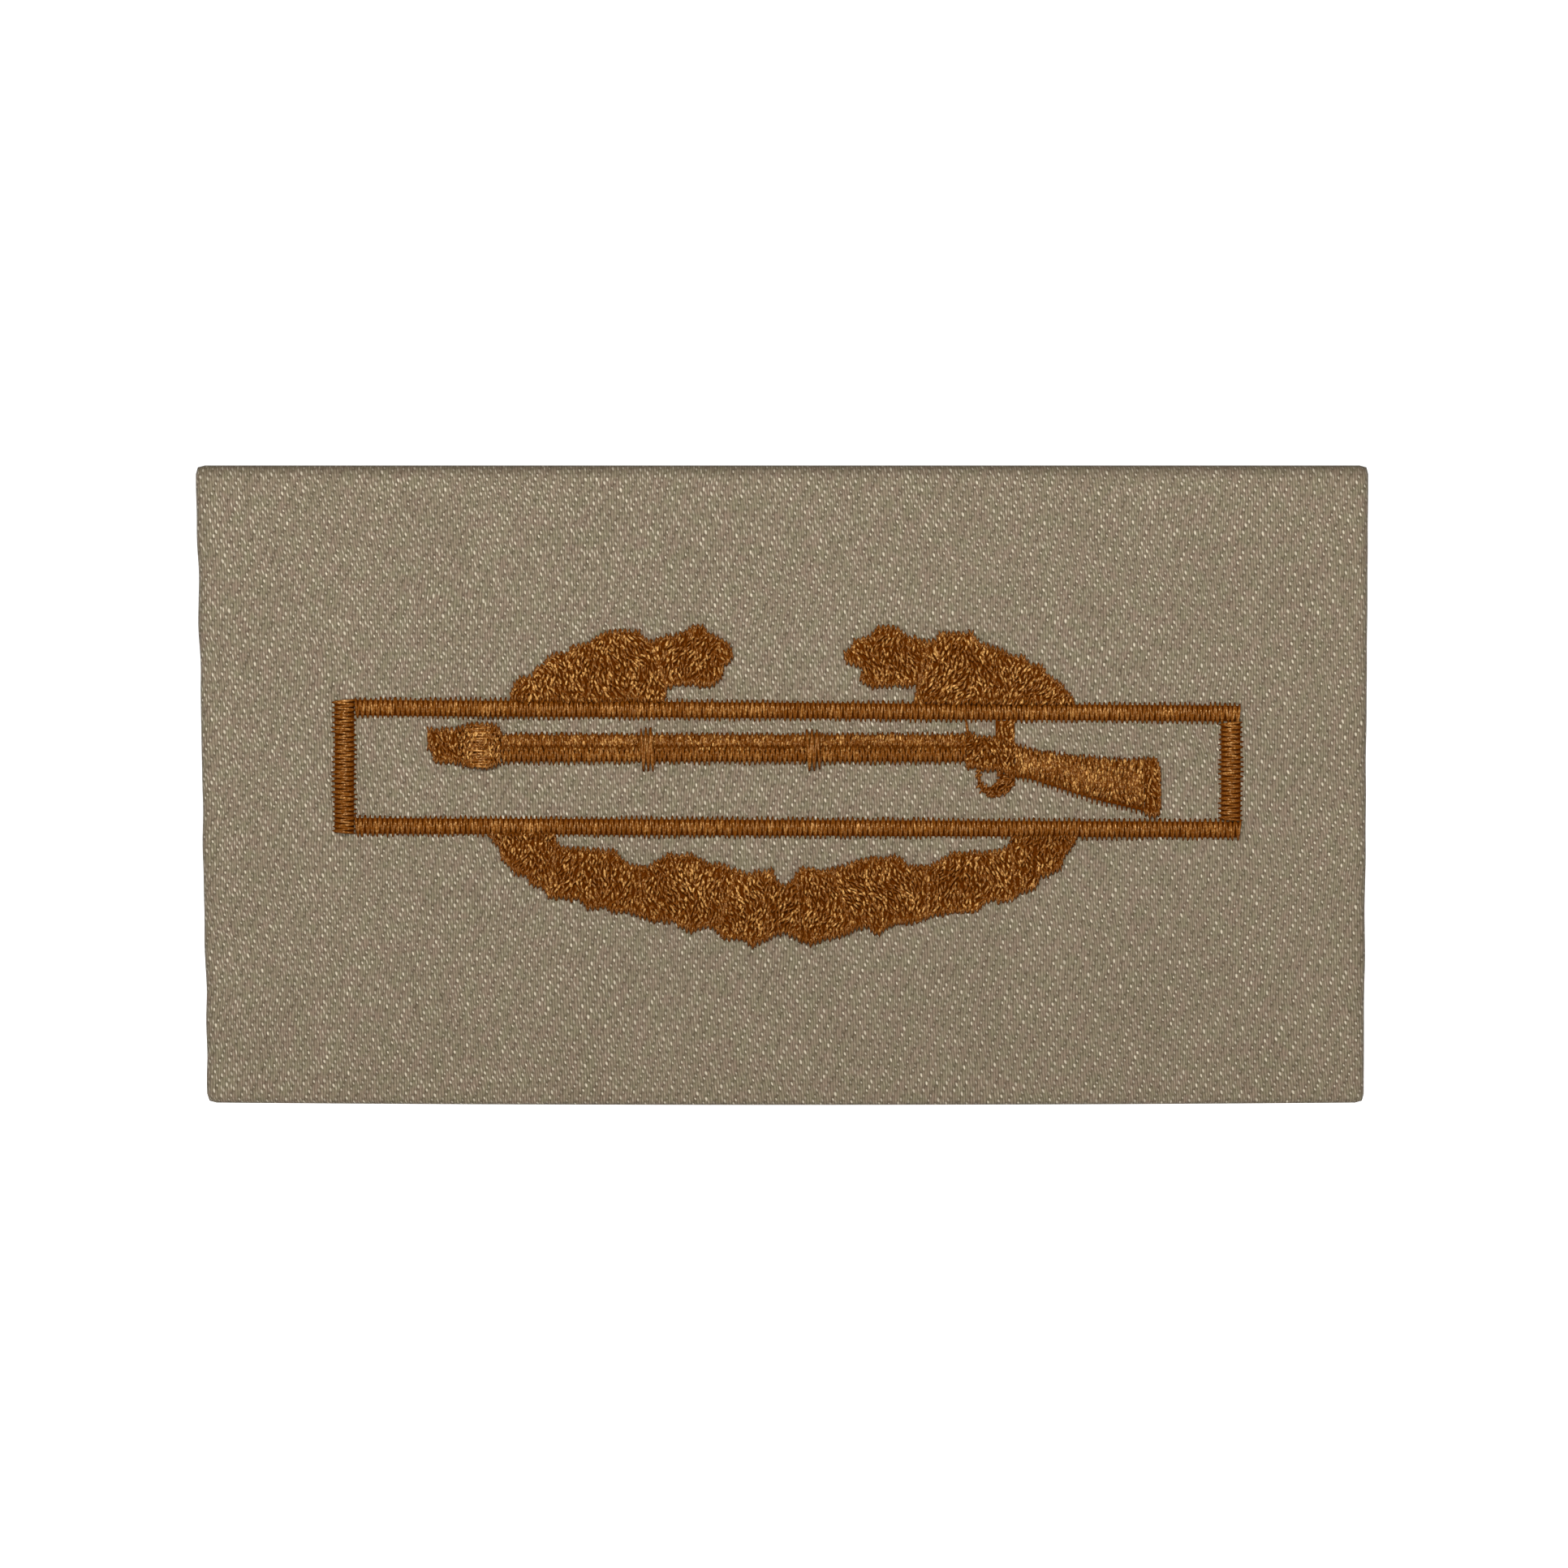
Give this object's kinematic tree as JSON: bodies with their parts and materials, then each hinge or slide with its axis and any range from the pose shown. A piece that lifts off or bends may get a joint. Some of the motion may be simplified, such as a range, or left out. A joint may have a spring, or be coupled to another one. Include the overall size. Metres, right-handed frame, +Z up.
{
  "type": "embroidered cloth badge",
  "caption": "Rectangular twill badge with turned-in edges, embroidered in brown with a long bar holding a musket, set on an oak-leaf wreath, for sewing on.",
  "frame": {"origin": "centre of the back, in the plane of the turned-in hems", "axes": "+Z up as worn, +X to the viewer's right, embroidered face looks along -Y, +Y out of the back towards the garment"},
  "size_m": [0.0986, 0.0018, 0.0536],
  "materials": {
    "cloth": "drab grey-green cotton twill with light flecks",
    "lining": "matt pressed-fibre interlining",
    "thread": "lustrous brown embroidery thread",
    "thread_dark": "lustrous brown embroidery thread seen across its run",
    "thread_light": "lustrous brown embroidery thread in short random stitches",
    "under_thread": "matt bobbin thread"
  },
  "bodies": {
    "root": {"face_cloth": "cloth", "interlining": "lining", "bar_top": "thread", "bar_bottom": "thread", "bar_left": "thread_dark", "bar_right": "thread_dark", "muzzle": "thread", "nose_cap": "thread_light", "barrel": "thread", "fore_stock": "thread_dark", "front_band": "thread_dark", "rear_band": "thread_dark", "rear_sight": "thread_dark", "hammer": "thread_dark", "lock": "thread_light", "trigger_guard": "thread_dark", "butt_stock": "thread_light", "butt_plate": "thread_dark", "leaf_upper_left": "thread_light", "leaf_upper_left_tip": "thread_light", "leaf_upper_right": "thread_light", "leaf_upper_right_tip": "thread_light", "leaf_lower_left_outer": "thread_light", "leaf_lower_left_middle": "thread_light", "leaf_lower_left_inner": "thread_light", "leaf_lower_left_end": "thread_light", "leaf_lower_right_outer": "thread_light", "leaf_lower_right_middle": "thread_light", "leaf_lower_right_inner": "thread_light", "leaf_lower_right_end": "thread_light", "wreath_tie": "thread_dark", "under_bar_top": "under_thread", "under_bar_bottom": "under_thread", "under_bar_left": "under_thread", "under_bar_right": "under_thread", "under_musket": "under_thread", "under_leaf_left": "under_thread", "under_leaf_right": "under_thread", "under_wreath_left": "under_thread", "under_wreath_right": "under_thread"}
  },
  "joints": []
}
